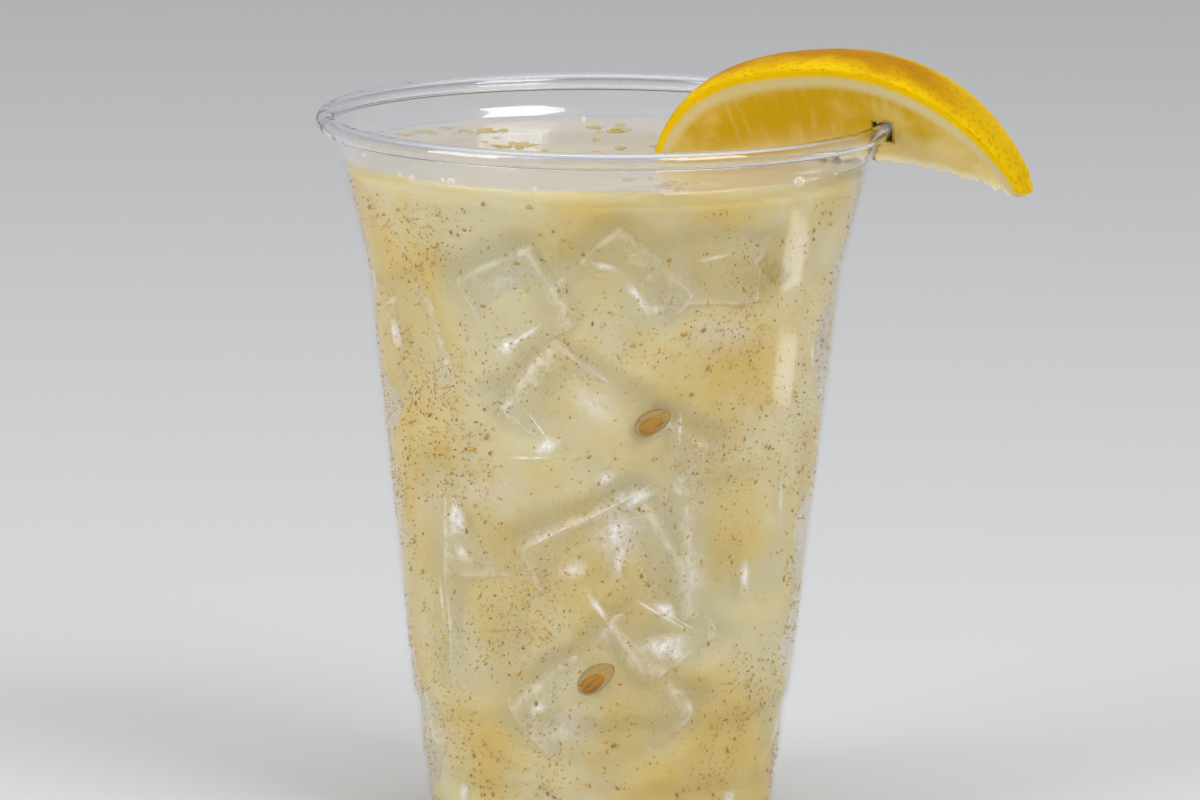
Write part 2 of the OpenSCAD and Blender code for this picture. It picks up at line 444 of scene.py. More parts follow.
def bubble_body(colours):
    """A bubble: clear, with a bright rim."""
    f = Finish("bubble")
    rim = f.facing()
    body = f.surface(Base_Color=tuple(colours.frost_and_highlight), Roughness=0.04, IOR=1.33)
    # Painted reflection: the rim is painted white where the surface is seen edge on.
    return f.done(f.mixed(rim * 0.6 + 0.06, f.clear(), body))


def pulp_body(colours):
    """Wet zest and pulp, amber in the middle and clear towards its edges."""
    f = Finish("zest_and_pulp")
    grain = f.noise(f.place(), 0.9, 4, 0.6)
    tone = f.blend(grain * 0.5, tuple(colours.pulp), tuple(colours.drink_icy))
    body = f.surface(Base_Color=tone, Roughness=0.25, IOR=1.36)
    share = f.step(f.stored("edge") + (grain - 0.5) * 0.4, 0.0, 0.8) * 0.75
    return f.done(f.mixed(share, f.clear(), body))


def speck_body(colours):
    """Specks of zest and spice, from amber to dark brown."""
    f = Finish("specks")
    tone = f.blend(f.stored("tone"), tuple(colours.speck_light), tuple(colours.speck_dark))
    return f.done(f.surface(Base_Color=tone, Roughness=0.5 + f.noise(f.place(), 0.4) * 0.2, IOR=1.4))


def seed_body(colours):
    """A wet lemon seed with fine ribs along it."""
    f = Finish("seed")
    ribs = f.noise(f.stored("ribs", "Vector"), 1, 3)
    rim = f.step(f.stored("rim"), 0.25, 0.85)
    mark = f.node("ShaderNodeClamp", values={0: rim * 1.4 + f.step(ribs, 0.4, 0.7) * 0.6})
    tone = f.blend(mark, tuple(colours.seed), tuple(colours.seed_edge))
    return f.done(
        f.surface(
            Base_Color=tone,
            Roughness=0.35,
            IOR=1.45,
            Specular_IOR_Level=0.05,
            Normal=f.bump(ribs, 0.15, 0.6),
        )
    )


def lemon_body(colours, wedge):
    """Peel, pith and flesh, told apart by how deep a place lies under the peel."""
    f = Finish("lemon")
    place = f.place()
    depth = f.stored("depth")
    grain = f.stored("grain", "Vector")
    wobble = (f.noise(grain, 1.5, 3) - 0.5) * 0.5
    pores = f.cells(place, 1.15)
    spot = f.noise(place, 9, 4) - 0.5
    # Painted shade: the peel darkens along the crest of its arc, less towards its outer end, and spot mottles
    # it at random.
    outer = f.step(f.axis(place, "X"), 66, 50)
    crown = f.stored("crown") + spot * 1.2
    painted_crest_shade = f.step(crown, -1.05, -0.25) * (1 - f.step(crown, 0.0, 0.8) * 0.85) * (outer * 0.75 + 0.25)
    peel = f.blend(painted_crest_shade, tuple(colours.peel), tuple(colours.peel_shade_and_pores))
    peel = f.blend(f.step(pores, 0.5, 0.0) * 0.3, peel, tuple(colours.peel_shade_and_pores))
    sacs = f.cells(f.stretched(grain, (1, 0.24, 1)), 1.5, "DISTANCE_TO_EDGE")
    ridge = f.step(f.stored("ridge") + (f.noise(grain, 9, 3) - 0.5) * 0.3, 0.48, 1.15)
    flesh = f.blend(ridge, tuple(colours.flesh), tuple(colours.flesh_pale))
    streak = f.step(f.noise(f.stretched(grain, (1, 0.12, 1)), 1.4, 3), 0.5, 0.75)
    flesh = f.blend(streak * 0.18, flesh, tuple(colours.flesh_pale))
    flesh = f.blend(f.step(f.noise(grain, 9, 3), 0.42, 0.75) * 0.35, flesh, tuple(colours.flesh_pale))
    core = f.step(f.stored("ridge"), 0.86, 0.99)
    flesh = f.blend(core * 0.8, flesh, tuple(colours.ridge))
    rind_mm = wedge.rind * TO_MM
    pith_mm = rind_mm + wedge.pith * TO_MM
    inner = f.blend(f.step(depth + wobble, pith_mm - 0.8, pith_mm + 0.8), tuple(colours.pith), flesh)
    outside = 1 - f.step(depth, 0.05, 0.4)
    # Painted light: the rind on the cut faces is a lighter copy of the peel.
    rind = f.blend(outside, tuple(colours.rind_cut_lightened), peel)
    tone = f.blend(f.step(depth + wobble * 0.4, rind_mm - 0.45, rind_mm + 0.45), rind, inner)
    relief = (f.step(pores, 0.0, 0.55) - 1) * outside + (f.step(sacs, 0.0, 0.3) - 1) * (1 - outside) * 0.2
    return f.done(
        f.surface(
            Base_Color=tone,
            Roughness=0.52 + f.noise(place, 2) * 0.12,
            IOR=1.4,
            Specular_IOR_Level=0.05,
            Subsurface_Weight=0.25,
            Subsurface_Radius=(0.9, 0.75, 0.2),
            Subsurface_Scale=0.004,
            Normal=f.bump(relief, 0.3, 0.7),
        )
    )


def studio_floor(colours):
    """A plain pale matt floor."""
    f = Finish("studio_floor")
    return f.done(f.surface(Base_Color=tuple(colours.floor), Roughness=0.85))


# ---------------------------------------------------------------- shape helpers

CORNER_STEPS = 8
ROLL_STEPS = 32
SIDE_SHARE = 0.68


def unit(v):
    return v / np.linalg.norm(v)


def rounded(corners):
    """A path through corners (r, z, run), each rounded over its run where its sides leave room."""
    points = [np.array(c[:2], float) for c in corners]
    path = [points[0]]
    for before, here, after, corner in zip(points, points[1:], points[2:], corners[1:]):
        room = SIDE_SHARE * min(np.linalg.norm(here - before), np.linalg.norm(here - after))
        run = min(corner[2], room)
        start = here + unit(before - here) * run
        end = here + unit(after - here) * run
        for k in np.linspace(0, 1, CORNER_STEPS + 1):
            path.append(start * (1 - k) ** 2 + here * 2 * k * (1 - k) + end * k**2)
    path.append(points[-1])
    return np.array(path)


def beside(path, distance):
    """A path moved to its left by that distance."""
    steps = np.diff(path, axis=0)
    steps /= np.linalg.norm(steps, axis=1)[:, None]
    left = np.stack([-steps[:, 1], steps[:, 0]], 1)
    before = np.vstack([left[:1], left])
    after = np.vstack([left, left[-1:]])
    middle = before + after
    middle /= np.linalg.norm(middle, axis=1)[:, None]
    stretch = 1 / (middle * before).sum(1)
    return path + middle * (distance * stretch)[:, None]


def cup_path(s):
    """The middle line of the cup's sheet, from the bottom's centre to the end of the rolled lip."""
    half = s.wall / 2
    top = CUP_HIGH[2]
    ledge_r = s.neck_r - s.neck_in - s.ledge_w
    band_r = ledge_r - s.band_in
    shoulder_r = band_r - s.shoulder_in
    low_r = s.foot_r + s.low_step_w
    high_r = low_r + s.step_flare
    ring_in_r = s.foot_r - s.ring_w
    roll_r = (s.roll_d - s.wall) / 2
    corners = [
        (0, s.panel_rise, 0),
        (ring_in_r - s.panel_slope_w, s.panel_rise, 1.5 * MM),
        (ring_in_r, half, 0.8 * MM),
        (s.foot_r - half, half, s.foot_round),
        (s.foot_r - half, s.low_step_z, 0.7 * MM),
        (low_r - half, s.low_step_z + s.step_h, 0.7 * MM),
        (high_r - half, s.high_step_z, 0.7 * MM),
        (high_r + s.high_step_w - half, s.high_step_z + s.step_h, 0.7 * MM),
        (shoulder_r - half, top - s.shoulder_drop, 2.5 * MM),
        (band_r - half, top - s.band_drop, 2.2 * MM),
        (ledge_r - half, top - s.ledge_drop, 0.45 * MM),
        (ledge_r + s.ledge_w - half, top - s.ledge_drop + s.ledge_h, 0.45 * MM),
        (s.neck_r - half, top - half - roll_r, 0),
    ]
    wall = rounded(corners)
    turns = math.pi - s.roll_turn * np.arange(1, ROLL_STEPS + 1) / ROLL_STEPS
    centre = np.array([s.neck_r - half + roll_r, top - half - roll_r])
    roll = centre + roll_r * np.stack([np.cos(turns), np.sin(turns)], 1)
    return wall, roll


def inner_wall(s):
    """A function that gives the radius of the cup's inside at a height above the foot's rounding."""
    wall, _ = cup_path(s)
    side = beside(wall, s.wall / 2)
    side = side[side[:, 1] > s.foot_round]
    return lambda z: np.interp(z, side[:, 1], side[:, 0])


def lathe(profile, sides, closed=False):
    """Points and faces of a profile of (r, z) turned about Z. Points on the axis are shared."""
    turns = np.linspace(0, 2 * math.pi, sides, endpoint=False)
    rows, points = [], []
    for r, z in profile:
        if r < 1e-7:
            rows.append([len(points)] * sides)
            points.append((0.0, 0.0, z))
        else:
            rows.append(list(range(len(points), len(points) + sides)))
            points.extend((r * math.cos(t), r * math.sin(t), z) for t in turns)
    faces = []
    pairs = list(zip(rows, rows[1:])) + ([(rows[-1], rows[0])] if closed else [])
    for low, high in pairs:
        for i in range(sides):
            j = (i + 1) % sides
            ring = [low[i], low[j], high[j], high[i]]
            face = [p for k, p in enumerate(ring) if p not in ring[:k]]
            if len(face) > 2:
                faces.append(face)
    return np.array(points), faces


def new_piece(name, points, faces, materials, stored=None, face_slots=None):
    """A piece of the object from points and faces, riding on the frame."""
    mesh = bpy.data.meshes.new(name)
    mesh.from_pydata([tuple(map(float, p)) for p in points], [], faces)
    for material in materials:
        mesh.materials.append(material)
    if face_slots is not None:
        mesh.polygons.foreach_set("material_index", np.array(face_slots, np.int32))
    mesh.polygons.foreach_set("use_smooth", np.full(len(mesh.polygons), True))
    for key, values in (stored or {}).items():
        values = np.array(values, np.float32)
        if values.ndim == 2:
            layer = mesh.attributes.new(key, "FLOAT_VECTOR", "POINT")
            layer.data.foreach_set("vector", values.ravel())
        else:
            layer = mesh.attributes.new(key, "FLOAT", "POINT")
            layer.data.foreach_set("value", values)
    mesh.validate()
    mesh.update()
    piece = bpy.data.objects.new(name, mesh)
    bpy.context.collection.objects.link(piece)
    fix_normals(piece)
    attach(piece, BODY)
    return piece


def fix_normals(piece, joined=0.0):
    """Turns all faces outward, after joining points that fall nearer together than joined."""
    work = bmesh.new()
    work.from_mesh(piece.data)
    if joined > 0:
        bmesh.ops.remove_doubles(work, verts=work.verts, dist=joined)
    bmesh.ops.recalc_face_normals(work, faces=work.faces)
    work.to_mesh(piece.data)
    work.free()


def soft_noise(points, size_mm, offset=0.0):
    """Smooth noise from -1 to 1 at each point, with lumps of that size."""
    scale = 1 / (size_mm * MM)
    shift = Vector((offset, -offset, offset * 0.5))
    return np.array([noise.noise(Vector(p) * scale + shift) for p in points])


def colours():
    return bpy.context.scene.lemonade_colours


# ---------------------------------------------------------------- the cup


class LEMONADE_OT_cup(bpy.types.Operator):
    """Make the clear formed cup with its rolled lip"""

    bl_idname = "lemonade.cup"
    bl_label = "Clear cup"

    def execute(self, context):
        s = context.scene.lemonade_cup
        wall, roll = cup_path(s)
        sheet = np.vstack([wall, roll])
        half = s.wall / 2
        outline = np.vstack([beside(sheet, -half), beside(sheet, half)[::-1]])
        points, faces = lathe(outline, s.sides)
        lip_z = CUP_HIGH[2] - s.roll_d
        lowest = [min(points[p][2] for p in face) for face in faces]
        slots = [0 if z < DRINK_HIGH[2] else 1 if z < lip_z else 2 for z in lowest]
        cup = new_piece(
            "clear_cup",
            points,
            faces,
            [
                clear_sheet(colours(), "clear_wall", 0.0, 0.014),
                clear_sheet(colours(), "clear_neck", 0.09, 0.035),
                clear_lip(colours()),
            ],
            face_slots=slots,
        )
        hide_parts("cup")
        return {"FINISHED"}


# ---------------------------------------------------------------- the drink

FILL_SIDES = 192
TOP_RINGS = 44
MENISCUS_RUN = 1.6 * MM
RIPPLE = 0.16 * MM


def vessel_fill(s, gap, top_z, meniscus):
    """A solid that fills the cup, a gap away from the sheet's middle line, up to a height."""
    wall, _ = cup_path(s)
    line = beside(wall, gap)
    rising = line[:, 1] > s.foot_round
    top_r = np.interp(top_z, line[rising, 1], line[rising, 0])
    below = line[line[:, 1] < top_z - 0.1 * MM]
    radii = top_r * (1 - np.linspace(0, 1, TOP_RINGS) ** 1.6)
    heights = top_z + meniscus * np.exp(-(top_r - radii) / MENISCUS_RUN)
    surface = np.stack([radii, heights], 1)
    surface[-1, 0] = 0
    return lathe(np.vstack([below, surface]), FILL_SIDES)


def rippled(points, top_z, height):
    """Lets the top surface of a fill rise and fall a little."""
    top = points[:, 2] > top_z - 0.05 * MM
    points[top, 2] += height * soft_noise(points[top], 7, 3.0)
    return points


class LEMONADE_OT_drink(bpy.types.Operator):
    """Make the lemonade: its surface, its cloudy layer and its opaque depth"""

    bl_idname = "lemonade.drink"
    bl_label = "Lemonade"

    def execute(self, context):
        cup = context.scene.lemonade_cup
        size = context.scene.lemonade_drink
        level = DRINK_HIGH[2]
        half = cup.wall / 2
        points, faces = vessel_fill(cup, half * 0.3, level, size.meniscus)
        drink = new_piece(
            "lemonade_skin", rippled(points, level, RIPPLE), faces, [drink_skin(colours())]
        )
        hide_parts("lemonade")
        depth = size.haze_depth
        points, faces = vessel_fill(cup, half + depth, level - depth, 0)
        new_piece(
            "lemonade_haze", rippled(points, level - depth, RIPPLE), faces, [drink_haze(colours())]
        )
        self.make_core(cup, size, level)
        return {"FINISHED"}

    @staticmethod
    def make_core(cup, size, level):
        """The opaque depth, close behind the wall, which gives way where ice presses on the wall."""
        radius = inner_wall(cup)
        heights = np.arange(cup.panel_rise + size.core_depth, level - 2 * size.core_depth, CORE_STEP)
        hollows = ice_hollows(radius, heights)
        profile = np.stack([radius(heights) - size.core_depth, heights], 1)
        ends = [[[0, heights[0]]], profile, [[0, heights[-1]]]]
        points, faces = lathe(np.vstack(ends), CORE_SIDES)
        side = points[1:-1]
        swell = soft_noise(side, 15, 9.0) * 0.7 + soft_noise(side, 5, 4.0) * 0.3
        inward = size.hollow * hollows.ravel() - size.core_swell * swell
        factor = 1 - inward / np.hypot(side[:, 0], side[:, 1])
        side[:, :2] *= factor[:, None]
        icy = np.concatenate([[0], hollows.ravel(), [0]])
        new_piece("lemonade_core", points, faces, [drink_core(colours())], stored={"hollow": icy})


CORE_STEP = 1 * MM
CORE_SIDES = 256
HOLLOW_REACH = 6.5 * MM
HOLLOW_SPREAD = 1
HOLLOW_BLUR = 2


def ice_hollows(radius, heights):
    """How near ice lies to the wall, from 0 to 1, on a grid of heights and turns."""
    ice = bpy.data.objects["ice_cubes"].data.vertices
    points = np.empty(len(ice) * 3)
    ice.foreach_get("co", points)
    points = points.reshape(-1, 3)
    depth = radius(points[:, 2]) - np.hypot(points[:, 0], points[:, 1])
    row = np.round((points[:, 2] - heights[0]) / CORE_STEP).astype(int)
    column = np.round(np.arctan2(points[:, 1], points[:, 0]) / math.tau * CORE_SIDES).astype(int) % CORE_SIDES
    near = (depth < HOLLOW_REACH) & (row >= 0) & (row < len(heights))
    grid = np.zeros((len(heights), CORE_SIDES))
    np.maximum.at(grid, (row[near], column[near]), 1 - (depth[near] / HOLLOW_REACH) ** 2)
    for _ in range(HOLLOW_SPREAD):
        grid = np.maximum.reduce(neighbours(grid))
    for _ in range(HOLLOW_BLUR):
        grid = sum(neighbours(grid)) / 5
    return grid


def neighbours(grid):
    """The grid and its copies moved a step each way; it closes on itself sideways."""
    up = np.vstack([grid[1:], grid[-1:]])
    down = np.vstack([grid[:1], grid[:-1]])
    return [grid, up, down, np.roll(grid, 1, 1), np.roll(grid, -1, 1)]


# ---------------------------------------------------------------- what floats in the drink


def wall_frame(turn_deg, height, r):
    """The place at that radius and a frame of side, up and outward directions.
    Turns count from the front, which looks along -Y, towards +X."""
    turn = math.radians(turn_deg)
    out = Vector((math.sin(turn), -math.cos(turn), 0))
    side = Vector((math.cos(turn), math.sin(turn), 0))
    axes = Matrix((side, Vector((0, 0, 1)), out)).transposed()
    return Vector((out.x * r, out.y * r, height)), axes


CUBE_STEPS = 14
CUBE_ROUND = 0.36
CUBE_MELT = 0.8 * MM


def rounded_cube(size, seed):
    """Points, faces and edge closeness of a melted ice cube about the origin."""
    work = bmesh.new()
    bmesh.ops.create_cube(work, size=2)
    bmesh.ops.subdivide_edges(work, edges=work.edges, cuts=CUBE_STEPS, use_grid_fill=True)
    raw = np.array([v.co for v in work.verts])
    faces = [[v.index for v in face.verts] for face in work.faces]
    work.free()
    ordered = np.sort(np.abs(raw), axis=1)
    edge = np.clip((ordered[:, 1] - 0.55) / 0.45, 0, 1) ** 2
    half = np.array(size) / 2
    radius = CUBE_ROUND * half.min()
    body = raw * half
    inner = np.clip(body, -(half - radius), half - radius)
    offset = body - inner
    far = np.linalg.norm(offset, axis=1)
    moved = far > 1e-9
    points = body.copy()
    points[moved] = inner[moved] + offset[moved] / far[moved, None] * radius
    dish = np.prod(1 - raw[:, :2] ** 2, axis=1) * (raw[:, 2] > 0.99)
    points[:, 2] -= dish * half[2] * 0.22
    away = points / np.linalg.norm(points, axis=1)[:, None]
    points += away * (soft_noise(points, 8, seed) * CUBE_MELT)[:, None]
    return points, faces, edge


# Each cube the wall shows: turn, height, width, height and thickness, spin, pitch and yaw in
# degrees, and how far its nearest corner stays behind the wall. Sizes are in millimetres.
FRONT_CUBES = [
    (0, 73, 34, 17, 18, -36, 12, 8, 0.5),
    (-40, 53, 22, 21, 20, 6, -8, 14, 0.4),
    (2, 50, 25, 22, 20, 28, 14, -12, 0.4),
    (38, 51, 23, 25, 20, 8, 6, 16, 1.0),
    (5, 97, 20, 20, 18, -42, 20, 10, 0.7),
    (30, 98, 19, 12, 17, -4, 0, 0, 1.2),
    (20, 35, 17, 14, 16, 30, -12, 10, 0.4),
    (0, 24, 25, 24, 20, 42, 10, -6, 0.4),
    (-44, 37, 17, 25, 19, 0, 8, 10, 1.6),
    (-66, 84, 21, 20, 20, 20, 10, 0, 1.6),
    (-24, 95, 18, 17, 18, 24, 16, -10, 1.4),
]
ICE_CLEAR = 0.8 * MM
WEDGE_DIP = 8.5 * MM
BACK_TURNS = 7
BACK_ROWS = 5
BACK_LOWEST = 21
BACK_RISE = 19
BACK_SHARE = 0.72


def back_cubes():
    """Cubes for the rest of the wall, loosely in rows."""
    draw = random.Random(11)
    cubes = []
    for row in range(BACK_ROWS):
        height = BACK_LOWEST + BACK_RISE * row
        for step in range(BACK_TURNS):
            turn = 82 + 196 * (step + draw.uniform(0.15, 0.85)) / BACK_TURNS
            size = [draw.uniform(17, 24) for _ in range(3)]
            tilt = [draw.uniform(-45, 45), draw.uniform(-20, 20), draw.uniform(-20, 20)]
            if draw.random() < BACK_SHARE:
                cubes.append((turn, height + draw.uniform(-6, 6), *size, *tilt, draw.uniform(0.4, 2.2)))
    return cubes


class LEMONADE_OT_ice(bpy.types.Operator):
    """Make the ice cubes that press against the wall from inside"""

    bl_idname = "lemonade.ice"
    bl_label = "Ice cubes"

    def execute(self, context):
        radius = inner_wall(context.scene.lemonade_cup)
        lowest = context.scene.lemonade_cup.panel_rise + ICE_CLEAR
        highest = DRINK_HIGH[2] - WEDGE_DIP
        all_points, all_faces, all_edges = [], [], []
        count = 0
        for number, cube in enumerate(FRONT_CUBES + back_cubes()):
            turn, height, width, tall, thick, spin, pitch, yaw, depth = cube
            points, faces, edge = rounded_cube([width * MM, tall * MM, thick * MM], number * 3.7)
            tilt = Euler([math.radians(a) for a in (pitch, yaw, spin)]).to_matrix()
            centre, axes = wall_frame(turn, height * MM, 0)
            turned = points @ np.array(axes @ tilt).T
            placed = turned + np.array(centre)
            placed[:, 2] += max(0.0, lowest - placed[:, 2].min())
            if number >= len(FRONT_CUBES):
                placed[:, 2] -= max(0.0, placed[:, 2].max() - highest)
            placed += self.reach(radius, placed, turn, depth * MM)
            all_points.append(placed)
            all_faces.extend([[p + count for p in face] for face in faces])
            all_edges.append(edge)
            count += len(points)
        new_piece(
            "ice_cubes",
            np.vstack(all_points),
            all_faces,
            [ice_body(colours())],
            stored={"edge": np.concatenate(all_edges)},
        )
        return {"FINISHED"}

    @staticmethod
    def reach(radius, points, turn, depth):
        """How far the cube moves outward until its nearest point is depth behind the wall."""
        _, axes = wall_frame(turn, 0, 0)
        out = np.array(axes.col[2])
        limit = radius(points[:, 2]) - depth
        low, high = 0.0, 50 * MM
        for _ in range(30):
            middle = (low + high) / 2
            moved = points + out * middle
            if (np.hypot(moved[:, 0], moved[:, 1]) < limit).all():
                low = middle
            else:
                high = middle
        return out * low


# Flat pockets of air between ice and wall, painted white as glints of light: turn, height, width
# and height in millimetres, spin in degrees, and how white each is
GLINTS = [
    (-24.5, 85.5, 5.4, 3.2, 35, 0.9),
    (-20, 87.5, 9.5, 1.2, 34, 0.8),
    (-15, 68.5, 6.2, 3.2, 40, 0.9),
    (-20, 66.5, 11, 0.9, 4, 0.7),
    (-44, 54.5, 5.2, 8.4, -6, 0.85),
    (-43, 49, 4.4, 4, 0, 0.6),
    (4, 54, 13, 15, -20, 0.5),
    (3.5, 54.5, 3.4, 6.4, -20, 0.8),
    (9.5, 60, 8, 3, 32, 0.75),
    (5, 49.5, 3.2, 8.2, -12, 0.6),
    (-8, 47.5, 7.6, 4.2, 18, 0.6),
    (18, 40.5, 5.6, 3.8, -35, 0.85),
    (26, 46, 9, 17, 8, 0.4),
    (44, 45, 3.6, 9, 14, 0.75),
    (18, 34.3, 11, 6.4, 10, 0.8),
    (22, 33, 3.6, 5.2, 30, 0.6),
    (-1, 41, 10, 1.8, -55, 0.75),
    (-19.5, 23, 4.6, 3.2, 30, 0.7),
    (-12, 20, 14, 9, 30, 0.4),
    (0.5, 63.5, 5.2, 3.2, 25, 0.6),
    (-53, 40, 1.3, 11, 2, 0.6),
    (8, 94.5, 10, 2.2, -52, 0.7),
    (0, 100, 6.4, 1.8, -12, 0.7),
    (13, 92.5, 3.4, 2.4, 0, 0.6),
    (26, 101, 9, 1.2, 8, 0.6),
    (57, 57, 1.4, 12, 8, 0.5),
    (-65, 84.5, 5.4, 6.4, 10, 0.8),
    (-14, 53.5, 16, 0.6, 28, 0.7),
    (2, 58.5, 20, 0.6, 28, 0.7),
    (16, 40, 16, 0.7, -31, 0.9),
    (24, 38, 10, 0.5, -31, 0.7),
    (-17, 72, 7, 0.7, -52, 0.7),
    (20, 72, 0.8, 7.5, 0, 0.6),
    (-3, 76, 18, 9, -36, 0.4),
    (-33, 60, 18, 9, 10, 0.35),
    (33, 88, 15, 12, 0, 0.35),
    (-52, 6, 4, 5.4, 0, 0.7),
    (48, 6, 5.4, 4, 0, 0.7),
]
BACK_GLINTS = 34
GLINT_LIMITS = [(75, 285), (12, 104), (2, 8), (0.8, 5), (-60, 60), (0.3, 0.9)]
LENS_RINGS = 5
LENS_SIDES = 18
LENS_DEPTH = 0.3 * MM
LENS_THICK = 0.24 * MM


class LEMONADE_OT_glints(bpy.types.Operator):
    """Make the flat pockets of air between the ice and the wall, painted white as glints of light"""

    bl_idname = "lemonade.glints"
    bl_label = "Painted glints"

    def execute(self, context):
        radius = inner_wall(context.scene.lemonade_cup)
        draw = random.Random(5)
        glints = list(GLINTS)
        for _ in range(BACK_GLINTS):
            glints.append([draw.uniform(*limits) for limits in GLINT_LIMITS])
        points, faces, edges = [], [], []
        for number, glint in enumerate(glints):
            add_lens(radius, glint, number, points, faces, edges)
        new_piece("painted_glints", points, faces, [glint_body(colours())], stored={"edge": edges})
        return {"FINISHED"}


def add_lens(radius, lens, number, points, faces, edges):
    """Adds a thin lens with a ragged outline that follows the wall."""
    turn, height, width, tall, spin, strength = lens
    base = len(points)
    spin = math.radians(spin)
    for face in (1, -1):
        for ring in range(LENS_RINGS + 1):
            k = ring / LENS_RINGS
            for i in range(LENS_SIDES):
                a = math.tau * i / LENS_SIDES
                x, y = math.cos(a), math.sin(a)
                rough = 1 + 0.35 * noise.noise(Vector((x * 1.3, y * 1.3, number * 2.3)))
                x *= width / 2 * k * rough
                y *= tall / 2 * k * rough
                across = x * math.cos(spin) - y * math.sin(spin)
                z = (height + x * math.sin(spin) + y * math.cos(spin)) * MM
                r = float(radius(z))
                thick = LENS_THICK / 2 * (1 - k**2) * face
                place, _ = wall_frame(turn + math.degrees(across * MM / r), z, r - LENS_DEPTH + thick)
                points.append(tuple(place))
                edges.append((1 - k) * strength)
    for side in range(2):
        start = base + side * (LENS_RINGS + 1) * LENS_SIDES
        for ring in range(LENS_RINGS):
            for i in range(LENS_SIDES):
                j = (i + 1) % LENS_SIDES
                a, b = start + ring * LENS_SIDES, start + (ring + 1) * LENS_SIDES
                faces.append([a + i, a + j, b + j, b + i])


# Shreds of zest against the wall: turn, height, width and height in millimetres, spin, strength
SHREDS = [
    (44.5, 97.5, 6.0, 4.6, -12, 1.0),
    (45.5, 97.2, 3.4, 2.6, 20, 1.0),
    (49, 96, 4, 2.4, 20, 0.8),
    (40, 99.6, 4.6, 1.6, 30, 0.7),
    (-17, 110, 1.6, 1.2, 0, 1.0),
    (-31, 36, 5, 1.2, 12, 0.5),
]
# Patches of pulp on the surface: place across and away in millimetres, spread, number of flakes
PULP = [(-25, 29, 4.5, 16), (-15, 12, 3.0, 10), (-2, 31, 3.0, 6), (12, -34, 4.0, 12), (0, 0, 15, 18)]
FLAKE_NOISE = 0.35


class LEMONADE_OT_pulp(bpy.types.Operator):
    """Make the shreds of zest on the wall and the flakes of pulp that float on the drink"""

    bl_idname = "lemonade.pulp"
    bl_label = "Zest and pulp"

    def execute(self, context):
        radius = inner_wall(context.scene.lemonade_cup)
        draw = random.Random(17)
        points, faces, edges = [], [], []
        for number, shred in enumerate(SHREDS):
            add_lens(radius, shred, number + 60, points, faces, edges)
        ball, ball_faces = small_ball(2)
        for across, away, spread, count in PULP:
            for _ in range(count):
                size = np.array([draw.uniform(0.5, 2.0), draw.uniform(0.3, 1.1), 0.22]) * MM
                bumps = 1 + FLAKE_NOISE * soft_noise(ball * MM, 0.8, len(points))
                turn = np.array(Matrix.Rotation(draw.uniform(0, math.tau), 3, "Z"))
                place = [draw.gauss(across, spread) * MM, draw.gauss(away, spread) * MM, DRINK_HIGH[2]]
                if math.hypot(place[0], place[1]) > radius(place[2]) - 2.5 * MM:
                    continue
                start = len(points)
                points.extend(((ball * bumps[:, None] * size) @ turn.T + place).tolist())
                faces.extend([[p + start for p in face] for face in ball_faces])
                edges.extend([draw.uniform(0.3, 0.9)] * len(ball))
        new_piece("zest_and_pulp", points, faces, [pulp_body(colours())], stored={"edge": edges})
        return {"FINISHED"}


SPECK_DEEPEST = 0.3 * MM
SPECK_CLEAR = 0.03 * MM
SPECK_LOW = 5
SPECK_HIGH = 109
BIG_SPECKS = [
    (-19, 95.5), (-31, 92), (20, 88), (25, 88.5), (23, 77.5), (9, 86.5), (-32, 69.5), (-37, 67), (24, 53),
    (-3, 90), (-36, 104), (-28, 110), (-21, 100), (15, 101), (27, 82), (33, 34), (-38, 14), (-3.5, 10),
    (20, 55), (11, 46.5), (13, 45), (4, 17), (-20, 24), (-25, 29),
]


# Crowds of the finest specks: turn, height and spread in millimetres, number of specks
SPECK_CROWDS = [
    (-20, 40, 6, 420), (-47, 105, 5, 200), (-49, 75, 6, 200), (-43, 64, 5, 160), (36, 89, 6, 240),
    (32, 67, 7, 260), (-15, 16, 7, 240), (-28, 82, 6, 180), (46, 24, 6, 180), (4, 88, 7, 160),
    (12, 46, 5, 140),
]


